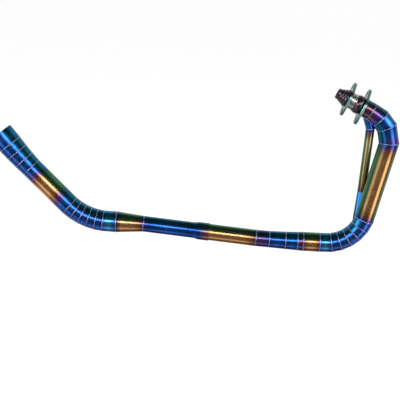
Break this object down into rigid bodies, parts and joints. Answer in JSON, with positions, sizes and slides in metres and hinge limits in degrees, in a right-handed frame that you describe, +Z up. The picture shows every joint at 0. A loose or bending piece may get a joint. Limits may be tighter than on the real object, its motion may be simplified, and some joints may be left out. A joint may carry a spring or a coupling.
{
  "type": "exhaust link pipe",
  "caption": "Pie-cut exhaust link pipe with a stepped port spigot, loose oval flanges, a slim bypass tube, a slip joint and a flared tail.",
  "frame": {"origin": "centre of the port nose's end face, on the port axis", "axes": "+X forwards, away from the cylinder head, +Z up, and the pipe lies in the XZ plane as it is fitted"},
  "size_m": [0.7919, 0.0588, 0.3344],
  "materials": {
    "dark_turned_steel": "dark oxidised turned steel",
    "polished_steel": "polished",
    "flange_steel": "plated and lightly heat tinted",
    "tint_blue": "polished tube, heat tinted blue",
    "tint_teal": "polished tube, heat tinted teal",
    "tint_gold": "polished tube, heat tinted gold",
    "tint_purple": "polished tube, heat tinted purple",
    "weld_bead": "bright weld"
  },
  "bodies": {
    "pipe": {"port_nose": "dark_turned_steel", "port_collar": "polished_steel", "port_ring": "dark_turned_steel", "neck": "tint_purple", "elbow_1": "tint_blue", "elbow_2": "tint_blue", "elbow_3": "tint_blue", "primary": "tint_gold", "lower_1": "tint_blue", "lower_2": "tint_blue", "lower_3": "tint_blue", "lower_4": "tint_blue", "lower_5": "tint_blue", "lower_exit": "tint_teal", "gold_spacer": "tint_gold", "taper_1": "tint_blue", "taper_2": "tint_blue", "taper_3": "tint_blue", "front_tube": "tint_purple", "gold_tube": "tint_gold", "slip_socket": "tint_blue", "mid_tube": "tint_blue", "reducer": "tint_gold", "rear_lead": "tint_teal", "rear_1": "tint_blue", "rear_2": "tint_blue", "rear_3": "tint_blue", "rear_4": "tint_blue", "rear_5": "tint_blue", "rear_straight": "tint_gold", "tail_1": "tint_blue", "tail_2": "tint_blue", "tail_3": "tint_blue", "tail_mouth": "tint_blue", "bypass_top": "tint_teal", "bypass_tube": "tint_gold", "bypass_foot": "tint_teal", "beads_elbow": "weld_bead", "beads_bypass": "weld_bead", "beads_lower": "weld_bead", "beads_front": "weld_bead", "beads_rear": "weld_bead", "beads_tail": "weld_bead"},
    "outer_flange": {"outer_flange": "flange_steel"},
    "inner_flange": {"inner_flange": "flange_steel"}
  },
  "joints": [
    {"name": "outer_flange_turn", "type": "hinge", "parent": "pipe", "child": "outer_flange", "pos_m": [0.02075, 0, -0.01103], "axis": [0.8829, 0, -0.4695], "continuous": true},
    {"name": "inner_flange_turn", "type": "hinge", "parent": "pipe", "child": "inner_flange", "pos_m": [0.04812, 0, -0.02559], "axis": [0.8829, 0, -0.4695], "continuous": true}
  ]
}
